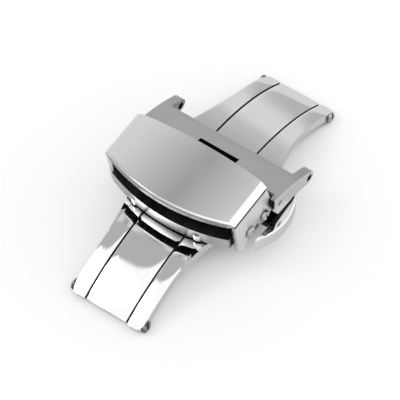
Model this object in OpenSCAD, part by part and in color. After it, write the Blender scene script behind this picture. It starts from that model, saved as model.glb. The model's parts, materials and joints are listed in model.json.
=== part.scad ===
// Butterfly push-button clasp for a leather watch strap, closed.
// X is the width, +Y runs to the lug end, Z is up, and the clasp rests on
// the two ends of its curved frame at Z = 0.

/* [Frame] */
// Half of the length of the curved frame
half_len = 20.85; // [19:0.05:23]
// Half of the length of the flat middle of the frame
flat_half = 5.2; // [4.8:0.1:5.6]
// Radius of the bent ends, measured on the top face
bend_r = 28.45; // [26:0.05:34]
// Thickness of the sheet that the frame and both arms are cut from
sheet_t = 1.25; // [1.1:0.05:1.5]
// Width of the frame across the rails near its ends
rail_span = 10.45; // [9.9:0.05:11.5]
// Radius of the flare that widens the frame towards its middle
flare_r = 28.3; // [24:0.1:34]
// Distance from the middle at which that flare starts
flare_start = 15; // [13:0.1:17]
// Radius of the frame's outer corners, seen from above
corner_r = 0.9; // [0.3:0.1:1.3]

/* [Latch box in the middle of the frame] */
// Gap between the box and the inside of the cover's walls, on each side
box_gap = 0.2; // [0.15:0.05:0.3]
// Length of the box along the clasp
box_l = 9.2; // [8.8:0.1:9.6]
// Depth of the box below the top of the frame, closing plate included
box_h = 2.6; // [2.5:0.05:3]
// Thickness of the closing plate under the box
plate_t = 0.4; // [0.3:0.05:0.6]
// Thickness of the box wall that the sliders stop against
box_wall = 0.75; // [0.5:0.05:1.2]
// Thickness of the box walls that face the arms
bridge_wall = 0.25; // [0.15:0.05:0.35]
// Length of the bridge that joins both halves of the box between the arms
bridge_l = 6.4; // [6:0.1:6.8]
// Radius of the closing plate's screws
screw_r = 0.3; // [0.2:0.05:0.4]
// Radius of the heads of those screws
screw_head_r = 0.6; // [0.45:0.05:0.8]
// Thickness of the heads of those screws
screw_head_t = 0.2; // [0.1:0.05:0.3]
// Length of those screws above the closing plate
screw_l = 1.1; // [0.8:0.1:1.4]
// Distance of those screws from the long middle line
screw_x = 6; // [5:0.1:7]
// Width of the driver slot in those screws
screw_slot = 0.16; // [0.12:0.02:0.3]

/* [Arms] */
// Width of each arm
arm_w = 5.9; // [5:0.05:6.2]
// Gap between an arm and the frame on each side
arm_gap = 0.25; // [0.2:0.05:0.5]
// How much shorter than the frame each arm is at its outer end
arm_short = 0.1; // [0.05:0.05:0.4]
// Gap between an arm's inner end and the bridge of the box
arm_end_gap = 0.25; // [0.2:0.05:0.3]
// Thickness of the catch legs across the clasp
leg_t = 0.75; // [0.5:0.05:0.9]
// Length of the catch legs along the clasp
leg_l = 0.9; // [0.7:0.1:1.1]
// Height of the rear arm's strut at its foot, above the arm
strut_h = 0.75; // [0.5:0.05:0.9]

/* [Hinges at the ends] */
// Distance from the end of the frame to the hinge pin, along the sheet
hinge_in = 0.85; // [0.8:0.05:1.2]
// Radius of the hinge pin
hinge_r = 0.35; // [0.25:0.01:0.4]
// Radius of the heads of the hinge pin
hinge_head_r = 0.75; // [0.6:0.05:0.85]
// Thickness of the heads of the hinge pin
hinge_head_t = 0.4; // [0.3:0.05:0.6]
// Width of the driver slot in a hinge pin head
hinge_slot = 0.25; // [0.15:0.05:0.35]
// Radial clearance of every turning fit
run_fit = 0.03; // [0.02:0.01:0.05]

/* [Head: tray and cover] */
// Angle at which the head slopes down to its front
head_tilt = 6.4; // [5.5:0.1:7]
// Distance from the middle of the clasp to the front of the head
head_front = 9.2; // [9:0.05:9.5]
// Gap between the frame's flat top and the underside of the tray's front
head_lift = 0.33; // [0.3:0.01:0.5]
// Radius of the curved front edge of tray and cover, seen from above
front_r = 24.2; // [20:0.1:30]
// Height of the tray's rim
tray_h = 1.55; // [1.4:0.05:1.8]
// Thickness of the tray's floor
tray_t = 0.8; // [0.6:0.05:1.1]
// Width of the tray's front rim
rim_w = 0.9; // [0.6:0.05:1.2]
// Distance that this rim reaches below the rest of the tray
rim_drop = 0.4; // [0.3:0.02:0.5]
// Length of the tray
tray_l = 8.2; // [8.1:0.05:8.3]
// Gap between the tray and the inside of the cover on each side
tray_gap = 0.2; // [0.15:0.05:0.3]
// Width of the rails under the tray's sides
side_rail_w = 0.75; // [0.6:0.05:1]
// Distance that those rails reach below the tray
side_rail_drop = 0.62; // [0.56:0.02:0.68]
// Distance of those rails' front end from the front of the head
side_rail_v = 3.6; // [3.4:0.1:3.8]
// Clear height for the strap between tray and cover
strap_h = 2.9; // [2.6:0.05:3.3]
// Width of the cover
cover_w = 19.1; // [18.9:0.05:20]
// Thickness of the cover's side walls
wall_t = 0.65; // [0.5:0.05:0.8]
// Thickness of the cover's top
cover_t = 1.1; // [0.95:0.05:1.3]
// Height of the bevel along the cover's sides
bevel_h = 0.68; // [0.4:0.02:0.85]
// Width of that bevel
bevel_w = 0.83; // [0.5:0.02:1.1]
// Length of the cover at its middle
cover_l = 9.15; // [9:0.05:9.3]
// Radius of the curved rear edge of the cover, seen from above
rear_r = 80; // [60:1:120]

/* [Side walls of the cover] */
// Distance of the side walls' front edge from the front of the head
wall_front = 2.2; // [2.1:0.05:2.4]
// Distance of the side walls' rear edge from the front of the head
wall_rear = 9.15; // [9.05:0.05:9.2]
// Height above the tray's underside at which that rear edge turns upright
wall_turn = 1.5; // [1.2:0.1:1.8]
// Depth of the prong's front edge below the tray's underside
nose_drop = 1.35; // [1.2:0.05:1.5]
// Depth of the prong's tip
prong_drop = 1.96; // [1.8:0.02:2.1]
// Distance of that tip from the front of the head
prong_v = 3.65; // [3.4:0.05:3.75]
// Depth of the prong's rear edge, where it meets the notch of the snap stud
prong_rear = 1.05; // [0.9:0.05:1.3]
// Clearance between a snap stud and its notch in the cover
snap_gap = 0.15; // [0.05:0.01:0.2]
// Length of the wall's spring strip behind that stud
relief_l = 1.25; // [1:0.05:1.4]
// Depth of that strip's lower edge
relief_drop = 0.37; // [0.3:0.01:0.45]
// Width of the slit behind that strip
slit_w = 0.5; // [0.3:0.05:0.6]
// Depth of the upper end of that slit
slit_drop = 0.25; // [0.15:0.01:0.28]
// Depth of the front of the tongue that the pivot sits in
tongue_drop = 0.95; // [0.85:0.05:1.1]
// Depth of the lowest point of that tongue
tongue_low = 1.5; // [1.3:0.05:1.6]
// Distance of that point from the front of the head
tongue_v = 7.5; // [7.3:0.1:7.9]

/* [Pins of the head] */
// Distance of the cover's pivot from the front of the head
pivot_v = 7.6; // [7.5:0.05:7.7]
// Height of the cover's pivot above the tray's underside
pivot_w = -0.1; // [-0.15:0.05:0]
// Distance of the snap stud from the front of the head
stud_v = 4.65; // [4.6:0.01:4.7]
// Height of the snap stud above the tray's underside
stud_w = 0.25; // [0.15:0.05:0.35]
// Radius of the shafts of the pivot screws and snap studs
side_pin_r = 0.32; // [0.26:0.01:0.34]
// Radius of the heads of the pivot screws and snap studs
side_head_r = 0.72; // [0.6:0.02:0.8]
// Thickness of those heads
side_head_t = 0.5; // [0.3:0.05:0.6]
// Edge bevel of those heads
side_head_bevel = 0.2; // [0.1:0.05:0.25]
// Width of the driver slot in the pivot screws
side_slot = 0.3; // [0.2:0.05:0.35]
// Depth of that slot
side_slot_t = 0.15; // [0.1:0.05:0.2]
// Angle of that slot
side_slot_angle = 20; // [0:5:90]
// Distance from the middle of the clasp to the pin that carries the head
head_pin_y = 5.3; // [5.2:0.02:5.6]
// Radius of that pin
head_pin_r = 0.3; // [0.2:0.01:0.34]
// Radius of the tray's ears round that pin
ear_r = 0.6; // [0.5:0.02:0.62]
// Thickness of those ears
ear_t = 0.8; // [0.5:0.05:1]
// Radius of the strap peg
peg_r = 0.8; // [0.5:0.05:1.1]
// Height of the strap peg above the tray
peg_h = 1.9; // [1.4:0.05:2.2]
// Distance of the strap peg from the front of the head
peg_v = 4.7; // [4.4:0.05:5.2]
// Radius of the rest pads under the tray's front
pad_r = 0.75; // [0.6:0.05:0.8]
// Distance that the rest pads stand out from the tray's front
pad_out = 0.2; // [0.1:0.05:0.3]
// Distance of the rest pads from the long middle line
pad_x = 4.6; // [4.3:0.05:5]

/* [Lug plate] */
// Width of the strap that fits between the lugs
strap_w = 18; // [16:0.5:18.2]
// Side play of that strap, both sides together
strap_play = 0.3; // [0.1:0.05:0.5]
// Gap between the cover and the lug plate's ears on each side
ear_play = 0.15; // [0.1:0.01:0.25]
// Thickness of the lug plate's ears beside the cover
lug_ear_t = 0.7; // [0.6:0.05:0.9]
// Radius of the curved top of the lug plate, seen from the side
lug_top_r = 25; // [20:0.5:32]
// Thickness of the lug plate
lug_plate_t = 0.6; // [0.5:0.02:0.62]
// Height of the lug plate's top above the pin that carries it
lug_rise = 1.38; // [1.3:0.01:1.5]
// Angle at which the lug plate's top slopes there
lug_slope = 11.15; // [10:0.05:12]
// Depth of the lug plate's ears below that pin
lug_ear_drop = 0.86; // [0.7:0.02:0.95]
// Distance that those ears reach forward of that pin
lug_ear_front = 1.24; // [1:0.02:1.4]
// Distance of those ears' lowest point in front of that pin
lug_heel = 0.69; // [0.6:0.01:0.8]
// Distance that the lug plate reaches forward of that pin
plate_in = 0.2; // [0.16:0.02:0.24]
// Distance from the middle to the rear edge of the lug plate
lug_plate_y = 5.1; // [4.6:0.05:5.5]
// Width of the window in the lug plate's front edge
window_w = 5.8; // [4:0.1:7]
// Distance of that window's middle from the long middle line
window_x = 0.1; // [0:0.1:1]
// Distance from the middle of the clasp to the back of that window
window_y = 2.55; // [1.6:0.05:3]
// Distance from the middle to the spring bar holes
bar_y = 7.04; // [6.8:0.02:7.4]
// Height of the spring bar holes above the frame's flat top
bar_z = -0.16; // [-0.25:0.01:0]
// Radius of the spring bar holes
bar_r = 0.5; // [0.35:0.05:0.55]
// Radius of the rounded lug tips
lug_tip_r = 0.93; // [0.93:0.01:0.96]
// Distance from the middle to the pin that carries the lug plate
lug_pin_y = 0.64; // [0.6:0.02:0.8]
// Height of that pin above the frame's flat top
lug_pin_z = 1.69; // [1.6:0.01:1.72]
// Radius of that pin
lug_pin_r = 0.4; // [0.3:0.01:0.42]
// Radius of the rear arm's cross barrel round that pin
barrel_r = 0.66; // [0.6:0.01:0.67]
// Gap between that barrel and the cover's walls on each side
barrel_gap = 0.1; // [0.05:0.05:0.3]

/* [Push buttons] */
// Distance from the long middle line to the outermost point of a button
button_x = 11.65; // [11.5:0.05:12]
// Radius of a button's outer face, seen from above
button_r = 7.6; // [7:0.1:9]
// Height of a button
button_h = 2.2; // [1.8:0.05:2.3]
// Distance of a button's top below the frame's flat top
button_drop = 0.5; // [0.45:0.01:0.6]
// Edge bevel of a button
button_bevel = 0.18; // [0.1:0.02:0.3]
// Travel of a button
button_travel = 0.6; // [0.5:0.05:0.65]
// Thickness of a slider
slider_t = 0.8; // [0.6:0.02:0.84]
// Half width of a slider's shank
shank_half = 1; // [0.8:0.05:1.15]
// Half width of a slider's shoulder
shoulder_half = 2.6; // [2.4:0.05:2.8]
// Length of a slider's shoulder
shoulder_l = 0.9; // [0.6:0.05:1.1]
// Distance from the long middle line to a slider's hook bar
hook_x = 1.3; // [1:0.05:1.35]
// Thickness of a slider's hook bar
hook_t = 0.7; // [0.5:0.05:0.72]
// Radius of the button springs
spring_r = 0.4; // [0.3:0.01:0.42]
// Length of the button springs at rest
spring_l = 2.4; // [2:0.05:2.8]
// Thickness of the wire of those springs
spring_wire = 0.16; // [0.1:0.02:0.2]
// Length of the oval pin in a button's top
oval_l = 1.45; // [1:0.05:1.8]
// Width of that oval pin
oval_w = 0.42; // [0.3:0.02:0.5]
// Distance of that pin's middle from the button's inner face
oval_in = 0.38; // [0.34:0.02:0.44]
// Distance of that pin's middle in front of the button's middle
oval_front = 2.4; // [2:0.1:2.6]
// Gap round that pin
oval_room = 0.06; // [0.05:0.01:0.12]

/* [Hidden] */
$fn = 64;

// Small working distances
eps = 0.01;
far = 60;
slide_gap = 0.05;
head_seat = 0.03;
open_gap = 0.1;
ear_room = 0.2;
root = 0.3;
wall_step = 0.05;
driver_deep = 0.1;
oval_deep = 0.5;
oval_proud = 0.04;

// The bent sheet: end angle, hinge place and the height of its flat top
end_angle = asin((half_len - flat_half) / bend_r);
hinge_angle = end_angle - hinge_in / bend_r * 180 / PI;
hinge_rad = bend_r - sheet_t / 2;
hinge_y = flat_half + hinge_rad * sin(hinge_angle);
hinge_z = -bend_r + hinge_rad * cos(hinge_angle);
top_z = bend_r - (bend_r - sheet_t) * cos(end_angle);

// Widths of the frame and the arms
rail_x = rail_span / 2;
slot_w = arm_w + 2 * arm_gap;
arm_in = bridge_l / 2 + arm_end_gap;
arm_end_angle = end_angle - arm_short / bend_r * 180 / PI;
leg_in = arm_w / 2 - leg_t;

// The latch box
box_w = cover_w - 2 * wall_t - 2 * box_gap;
cavity_top = -sheet_t;
cavity_floor = -box_h + plate_t;
cavity_w = box_w - 2 * box_wall;
cavity_l = bridge_l - 2 * bridge_wall;
leg_bottom = cavity_floor + slide_gap;
screw_y = (box_l + bridge_l) / 4;

// The head, in its own tilted axes: Y from its front edge, Z from the tray's underside
tray_w = cover_w - 2 * wall_t - 2 * tray_gap;
cover_under = tray_h + strap_h;
cover_top = cover_under + cover_t;
wall_in = cover_w / 2 - wall_t;
front_corner = front_r - sqrt(front_r * front_r - cover_w * cover_w / 4);
rear_corner = cover_l - rear_r + sqrt(rear_r * rear_r - cover_w * cover_w / 4);
side_head_x = cover_w / 2 + head_seat;
notch_r = side_pin_r + snap_gap;
head_pin_z = -sheet_t / 2;
notch_l = 2 * (ear_r + ear_room);
ear_x = arm_w / 2 - slide_gap - ear_t;
knuckle_w = 2 * (ear_x - open_gap);
pad_v = front_r - sqrt(front_r * front_r - pad_x * pad_x) + pad_r - pad_out;
pad_bottom = sheet_top(pad_v - head_front + pad_r) + slide_gap;

// The lug plate
lug_gap = strap_w + strap_play;
lug_ear_in = cover_w / 2 + ear_play;
lug_x = lug_ear_in + lug_ear_t;
lug_c_y = lug_pin_y - lug_top_r * sin(lug_slope);
lug_c_z = lug_pin_z + lug_rise - lug_top_r * cos(lug_slope);
plate_front = lug_pin_y - plate_in;
ear_front = lug_pin_y - lug_ear_front;
barrel_half = wall_in - barrel_gap;
barrel_bite = barrel_r * 2 / 3;
heel_y = lug_pin_y - lug_heel;
heel_z = lug_pin_z - lug_ear_drop;
under_angle = atan2(heel_z - bar_z, bar_y - heel_y)
    + asin(lug_tip_r / norm([bar_y - heel_y, bar_z - heel_z]));
tip_angle = atan2(bar_y - lug_c_y, bar_z - lug_c_z);

// The buttons
button_top = -button_drop;
button_in = cover_w / 2 + button_travel + open_gap;
button_w = button_x - button_in;
button_c = button_x - button_r;
slider_z = (cavity_top + cavity_floor) / 2 - slider_t / 2;
shoulder_x = cavity_w / 2 - slide_gap;
spring_x = shoulder_x - shoulder_l - spring_l;
spring_y = (shank_half + shoulder_half) / 2 + slide_gap;
seat_t = 0.4;
hook_half = arm_in + leg_l - open_gap;
oval_x = button_in + oval_in;

// Height of the top face of the frame at the given distance from the middle
function sheet_top(y) = -bend_r + sqrt(pow(bend_r, 2) - pow(max(abs(y) - flat_half, 0), 2));

// Lays a sketch of (Y, Z) points across the clasp, w wide about x
module across(w, x = 0) {
    translate([x - w / 2, 0, 0])
        rotate([90, 0, 90])
        linear_extrude(w) children();
}

// Puts the frame's flat top, where the sketches have Z = 0, at its real height
module lift() {
    translate([0, 0, top_z]) children();
}

// Moves from the head's own tilted axes to the clasp's
module in_head() {
    translate([0, -head_front, head_lift])
        rotate([head_tilt, 0, 0]) children();
}

module both_sides() {
    children();
    mirror([1, 0, 0]) children();
}

module both_ends() {
    children();
    mirror([0, 1, 0]) children();
}

module x_rod(r, x0, x1, y = 0, z = 0) {
    translate([x0, y, z])
        rotate([0, 90, 0])
        cylinder(r = r, h = x1 - x0);
}

// Side sketch of one bent end of the sheet, out to the given angle
module bent_end(angle) {
    intersection() {
        translate([flat_half, -bend_r]) difference() {
            circle(r = bend_r, $fn = 360);
            circle(r = bend_r - sheet_t, $fn = 360);
        }
        polygon([[flat_half, -bend_r], [flat_half, bend_r],
            [flat_half + 2 * bend_r * sin(angle), -bend_r + 2 * bend_r * cos(angle)]]);
    }
}

// Side sketch of the sheet from y0, inside the flat middle, to its outer end
module sheet_side(y0, angle) {
    bent_end(angle);
    translate([y0, -sheet_t]) square([flat_half - y0, sheet_t]);
}

// Outline of the frame from above, with its flared waist and round corners
module frame_outline() {
    flare_c = rail_x + flare_r;
    difference() {
        square([box_w, 2 * half_len + 2], center = true);
        for (x = [-1, 1], y = [-1, 1]) scale([x, y]) {
            translate([flare_c, flare_start]) circle(r = flare_r, $fn = 360);
            translate([rail_x, flare_start]) square([far, far]);
            translate([rail_x - corner_r, half_len - corner_r]) difference() {
                square(2 * corner_r + 1);
                circle(r = corner_r);
            }
        }
    }
}

module base_frame() color("silver") lift() difference() {
    union() {
        intersection() {
            across(box_w) {
                sheet_side(-flat_half, end_angle);
                scale([-1, 1]) sheet_side(-flat_half, end_angle);
            }
            translate([0, 0, -far / 2]) linear_extrude(far) frame_outline();
        }
        translate([-box_w / 2, -box_l / 2, cavity_floor])
            cube([box_w, box_l, -cavity_floor]);
    }
    both_ends() translate([-slot_w / 2, bridge_l / 2, -far / 2])
        cube([slot_w, far, far]);
    latch_cavity();
    both_ends() x_rod(hinge_r, -far, far, hinge_y, hinge_z);
    both_ends() both_sides() translate([screw_x, screw_y, cavity_floor - eps])
        cylinder(r = screw_r, h = screw_l + eps);
}

// Room in the box for both sliders, less the four seats of the springs
module latch_cavity() {
    h = cavity_top - cavity_floor + eps;
    difference() {
        translate([-cavity_w / 2, -cavity_l / 2, cavity_floor - eps])
            cube([cavity_w, cavity_l, h]);
        both_ends() both_sides()
            translate([spring_x - seat_t, spring_y - spring_r - open_gap, cavity_floor - 2 * eps])
            cube([seat_t, 2 * (spring_r + open_gap), h + 2 * eps]);
    }
    translate([-arm_w / 2, -box_l / 2, cavity_floor - eps])
        cube([arm_w, box_l, h]);
    translate([-box_w, -shank_half - slide_gap, cavity_floor - eps])
        cube([2 * box_w, 2 * (shank_half + slide_gap), h]);
}

module bottom_plate() color("silver") lift() difference() {
    translate([-box_w / 2, -box_l / 2, -box_h]) cube([box_w, box_l, plate_t]);
    both_ends() both_sides() {
        translate([screw_x, screw_y, -far / 2]) cylinder(r = screw_r, h = far);
        translate([screw_x, screw_y, -box_h - eps])
            cylinder(r = screw_head_r, h = screw_head_t + eps);
    }
}

module bottom_screws() color("gainsboro") lift() both_ends() both_sides()
    translate([screw_x, screw_y, -box_h]) difference() {
        union() {
            cylinder(r = screw_head_r, h = screw_head_t);
            cylinder(r = screw_r, h = plate_t + screw_l);
        }
        translate([-screw_head_r, -screw_slot / 2, -eps])
            cube([2 * screw_head_r, screw_slot, driver_deep]);
    }

// Pin through both rails and the arm between them, with a slotted head at each side
module hinge_pin() {
    head_x = rail_x + head_seat;
    x_rod(hinge_r, -head_x - eps, head_x + eps);
    both_sides() difference() {
        x_rod(hinge_head_r, head_x, head_x + hinge_head_t);
        translate([head_x + hinge_head_t / 2, -hinge_slot / 2, -hinge_head_r])
            cube([hinge_head_t, hinge_slot, 2 * hinge_head_r]);
    }
}

module front_hinge_pin() color("gainsboro") lift()
    translate([0, -hinge_y, hinge_z]) hinge_pin();

module rear_hinge_pin() color("gainsboro") lift()
    translate([0, hinge_y, hinge_z]) hinge_pin();

// One arm towards +Y, with its hinge bore and its two catch legs
module arm_blank() {
    difference() {
        across(arm_w) sheet_side(arm_in, arm_end_angle);
        x_rod(hinge_r + run_fit, -far, far, hinge_y, hinge_z);
    }
    both_sides() translate([leg_in, arm_in, leg_bottom]) difference() {
        cube([leg_t, leg_l, -sheet_t - leg_bottom + eps]);
        translate([-eps, leg_l / 4, leg_l / 4])
            cube([leg_t + 2 * eps, leg_l / 2, leg_l / 2]);
    }
}

module front_arm() color("whitesmoke") lift() difference() {
    mirror([0, 1, 0]) arm_blank();
    x_rod(head_pin_r + run_fit, -far, far, -head_pin_y, head_pin_z);
    both_sides() translate([knuckle_w / 2, -head_pin_y - notch_l / 2, -far / 2])
        cube([far, notch_l, far]);
}

// The rear arm rises from its slot to a cross barrel under the lug plate
module rear_arm() color("whitesmoke") lift() difference() {
    union() {
        arm_blank();
        across(arm_w) polygon([[flat_half - root, -eps], [arm_in, -eps], [arm_in, open_gap],
            [lug_pin_y - barrel_r / 2, lug_pin_z - barrel_bite],
            [lug_pin_y, lug_pin_z + barrel_bite],
            [lug_pin_y + barrel_bite, lug_pin_z + barrel_r / 2], [flat_half - root, strut_h]]);
        x_rod(barrel_r, -barrel_half, barrel_half, lug_pin_y, lug_pin_z);
    }
    x_rod(lug_pin_r + run_fit, -far, far, lug_pin_y, lug_pin_z);
}

module head_pin() color("gainsboro") lift()
    x_rod(head_pin_r, -ear_x - ear_t, ear_x + ear_t, -head_pin_y, head_pin_z);

// Outline of the head from above, w wide and l long behind its curved front
module head_outline(w, l) {
    intersection() {
        translate([-w / 2, -1]) square([w, l + 1]);
        translate([0, front_r]) circle(r = front_r, $fn = 360);
    }
}

module tray() color("silver") lift() {
    in_head() difference() {
        union() {
            translate([0, 0, -rim_drop]) linear_extrude(rim_drop + eps) difference() {
                head_outline(tray_w, tray_l);
                translate([0, front_r + rim_w]) circle(r = front_r, $fn = 360);
            }
            linear_extrude(tray_h) head_outline(tray_w, tray_l);
            both_sides() translate([tray_w / 2 - side_rail_w, side_rail_v, -side_rail_drop])
                cube([side_rail_w, tray_l - side_rail_v, side_rail_drop + eps]);
        }
        translate([0, 0, -far]) linear_extrude(tray_h - tray_t + far) intersection() {
            translate([-tray_w / 2 + side_rail_w, 0])
                square([tray_w - 2 * side_rail_w, far]);
            translate([0, front_r + rim_w]) circle(r = front_r, $fn = 360);
        }
        translate([0, peg_v, -eps]) cylinder(r = peg_r / 2, h = far);
        both_sides() {
            pad_rod();
            side_shaft(pivot_v, pivot_w);
            side_shaft(stud_v, stud_w);
        }
    }
    both_sides() tray_ear();
}

// Shaft of a pivot screw or snap stud, also the hole that it sits in
module side_shaft(v, w) {
    x_rod(side_pin_r, tray_w / 2 - side_rail_w, side_head_x + eps, v, w);
}

// Rest pad before its foot is cut level, also its seat in the tray
module pad_rod() {
    translate([pad_x, pad_v, -far]) cylinder(r = pad_r, h = far + tray_h - tray_t);
}

// Ear that hangs from the tray's floor beside the front arm
module tray_ear() difference() {
    union() {
        x_rod(ear_r, ear_x, ear_x + ear_t, -head_pin_y, head_pin_z);
        translate([ear_x, -head_pin_y - ear_r, head_pin_z])
            cube([ear_t, 2 * ear_r, tray_floor(-head_pin_y) - head_pin_z + root / 2]);
    }
    x_rod(head_pin_r, -far, far, -head_pin_y, head_pin_z);
}

function tray_floor(y) = head_lift + (y + head_front) * tan(head_tilt) + tray_h - tray_t;

module strap_peg() color("gainsboro") lift() in_head() translate([0, peg_v, 0]) {
    translate([0, 0, tray_h - tray_t]) cylinder(r = peg_r / 2, h = tray_t + eps);
    translate([0, 0, tray_h]) rotate_extrude() {
        square([peg_r, peg_h - peg_r / 2]);
        intersection() {
            translate([0, peg_h - peg_r]) circle(r = peg_r);
            translate([0, peg_h - peg_r / 2 - eps]) square([peg_r, peg_r]);
        }
    }
}

// Round pads that keep the head's front off the frame
module rest_pads() color("gainsboro") lift() both_sides() difference() {
    in_head() pad_rod();
    translate([0, -far / 2, -far + pad_bottom]) cube([far, far, far]);
}

module side_head() {
    translate([side_head_x, 0, 0]) rotate([0, 90, 0]) rotate_extrude() {
        polygon([[0, 0], [side_head_r, 0], [side_head_r, side_head_t - side_head_bevel],
            [side_head_r - side_head_bevel, side_head_t], [0, side_head_t]]);
    }
}

module cover_pivots() color("gainsboro") lift() in_head() both_sides() {
    side_shaft(pivot_v, pivot_w);
    translate([0, pivot_v, pivot_w]) difference() {
        side_head();
        translate([side_head_x + side_head_t, 0, 0]) rotate([side_slot_angle, 0, 0])
            cube([2 * side_slot_t, side_slot, 3 * side_head_r], center = true);
    }
}

module snap_studs() color("gainsboro") lift() in_head() both_sides() {
    side_shaft(stud_v, stud_w);
    translate([0, stud_v, stud_w]) side_head();
}

// Side sketch of a cover wall: prong, snap notch, spring strip, slit and tongue
module cover_wall() {
    slit_v = stud_v + relief_l;
    top = cover_under + root;
    difference() {
        polygon([[front_corner + wall_step, top], [front_corner + wall_step, cover_under],
            [wall_front, tray_h], [wall_front, -nose_drop], [prong_v, -prong_drop],
            [stud_v - notch_r, -prong_rear], [slit_v + slit_w, -tongue_drop],
            [tongue_v, -tongue_low], [wall_rear - root, -tongue_low + root / 2],
            [wall_rear, -tongue_drop], [wall_rear, wall_turn],
            [rear_corner - wall_step, cover_under], [rear_corner - wall_step, top]]);
        translate([stud_v, stud_w]) circle(r = notch_r);
        translate([stud_v - notch_r, -far]) square([2 * notch_r, far + stud_w]);
        translate([stud_v, -far]) square([relief_l + eps, far - relief_drop]);
        translate([slit_v, -far]) square([slit_w, far - slit_drop]);
        translate([pivot_v, pivot_w]) circle(r = side_pin_r + run_fit);
    }
}

module cover() color("silver") lift() in_head() {
    intersection() {
        translate([0, far / 2, 0]) rotate([90, 0, 0]) linear_extrude(far)
            polygon([[-cover_w / 2, cover_under], [cover_w / 2, cover_under],
                [cover_w / 2, cover_top - bevel_h], [cover_w / 2 - bevel_w, cover_top],
                [bevel_w - cover_w / 2, cover_top], [-cover_w / 2, cover_top - bevel_h]]);
        linear_extrude(far) intersection() {
            head_outline(cover_w, cover_l);
            translate([0, cover_l - rear_r]) circle(r = rear_r, $fn = 720);
        }
    }
    both_sides() across(wall_t, wall_in + wall_t / 2) cover_wall();
}

// Side sketch of a lug: curved top, straight underside and a round tip
module lug_side() {
    difference() {
        union() {
            intersection() {
                translate([lug_c_y, lug_c_z]) circle(r = lug_top_r, $fn = 360);
                polygon([[ear_front, far], [ear_front, lug_pin_z], [heel_y, heel_z],
                    [bar_y - lug_tip_r * sin(under_angle), bar_z - lug_tip_r * cos(under_angle)],
                    [bar_y, bar_z], [bar_y + far * sin(tip_angle), bar_z + far * cos(tip_angle)]]);
            }
            translate([bar_y, bar_z]) circle(r = lug_tip_r);
        }
        translate([bar_y, bar_z]) circle(r = bar_r);
        translate([lug_pin_y, lug_pin_z]) circle(r = lug_pin_r);
    }
}

// Curved plate between the lugs, with a window in its front edge
module lug_plate() color("darkgray") lift() difference() {
    across(lug_gap) intersection() {
        translate([lug_c_y, lug_c_z]) difference() {
            circle(r = lug_top_r, $fn = 360);
            circle(r = lug_top_r - lug_plate_t, $fn = 360);
        }
        translate([plate_front, 0]) square([lug_plate_y - plate_front, far]);
    }
    translate([window_x - window_w / 2, plate_front - 1, 0])
        cube([window_w, window_y - plate_front + 1, far]);
}

// Lug with its spring bar hole, thinner in front, where it passes the cover
module lug() difference() {
    lug_w = lug_x - lug_gap / 2;
    across(lug_w, lug_x - lug_w / 2) lug_side();
    translate([-lug_ear_in, -far + plate_front, -far / 2]) cube([2 * lug_ear_in, far, far]);
}

module right_lug() color("darkgray") lift() lug();
module left_lug() color("darkgray") lift() mirror([1, 0, 0]) lug();

module lug_pin() color("gainsboro") lift()
    x_rod(lug_pin_r, -lug_x, lug_x, lug_pin_y, lug_pin_z);

// Crescent finger piece with a pocket for the slider and one for the oval pin
module button() difference() {
    intersection() {
        translate([button_c, 0, button_top - button_h]) rotate_extrude($fn = 180)
            polygon([[0, 0], [button_r - button_bevel, 0], [button_r, button_bevel],
                [button_r, button_h - button_bevel], [button_r - button_bevel, button_h],
                [0, button_h]]);
        translate([button_in, -far / 2, -far / 2]) cube([far, far, far]);
    }
    translate([0, -shank_half, slider_z]) cube([button_in + button_w / 2, 2 * shank_half, slider_t]);
    oval(oval_l + 2 * oval_room, oval_w + 2 * oval_room, oval_deep + eps);
}

// Oval rod that starts below the top of the button, h high
module oval(l, w, h) {
    translate([oval_x, -oval_front, button_top - oval_deep]) {
        translate([-w / 2, (w - l) / 2, 0]) cube([w, l - w, h]);
        for (s = [-1, 1]) translate([0, s * (l - w) / 2, 0]) cylinder(r = w / 2, h = h);
    }
}

module oval_pin() {
    oval(oval_l, oval_w, oval_deep + oval_proud);
}

// Slider: shank out to the button, shoulder for the springs, hook bar inside
module slider() {
    translate([hook_x, -shank_half, slider_z])
        cube([button_in + button_w / 2 - hook_x, 2 * shank_half, slider_t]);
    translate([shoulder_x - shoulder_l, -shoulder_half, slider_z])
        cube([shoulder_l, 2 * shoulder_half, slider_t]);
    translate([hook_x, -hook_half, slider_z])
        cube([hook_t, 2 * hook_half, slider_t]);
}

module springs() both_ends() difference() {
    x_rod(spring_r, spring_x, spring_x + spring_l, spring_y, slider_z + slider_t / 2);
    x_rod(spring_r - spring_wire, spring_x - eps, spring_x + spring_l + eps, spring_y,
        slider_z + slider_t / 2);
}

module right_button() color("silver") lift() button();
module right_slider() color("gray") lift() slider();
module right_oval_pin() color("gainsboro") lift() oval_pin();
module right_springs() color("dimgray") lift() springs();
module left_button() color("silver") lift() mirror([1, 0, 0]) button();
module left_slider() color("gray") lift() mirror([1, 0, 0]) slider();
module left_oval_pin() color("gainsboro") lift() mirror([1, 0, 0]) oval_pin();
module left_springs() color("dimgray") lift() mirror([1, 0, 0]) springs();

base_frame();
bottom_plate();
bottom_screws();
front_hinge_pin();
rear_hinge_pin();
front_arm();
rear_arm();
head_pin();
tray();
strap_peg();
rest_pads();
cover_pivots();
snap_studs();
cover();
lug_plate();
right_lug();
left_lug();
lug_pin();
right_button();
right_slider();
right_oval_pin();
right_springs();
left_button();
left_slider();
left_oval_pin();
left_springs();
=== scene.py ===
"""Looks of a watch clasp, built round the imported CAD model.

Shapes are given in millimetres, and MM turns them into metres.
Materials, the floor, the lamp and the camera are given in metres.
"""

import json
import math

import bmesh
import bpy
from mathutils import Matrix, Vector

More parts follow.
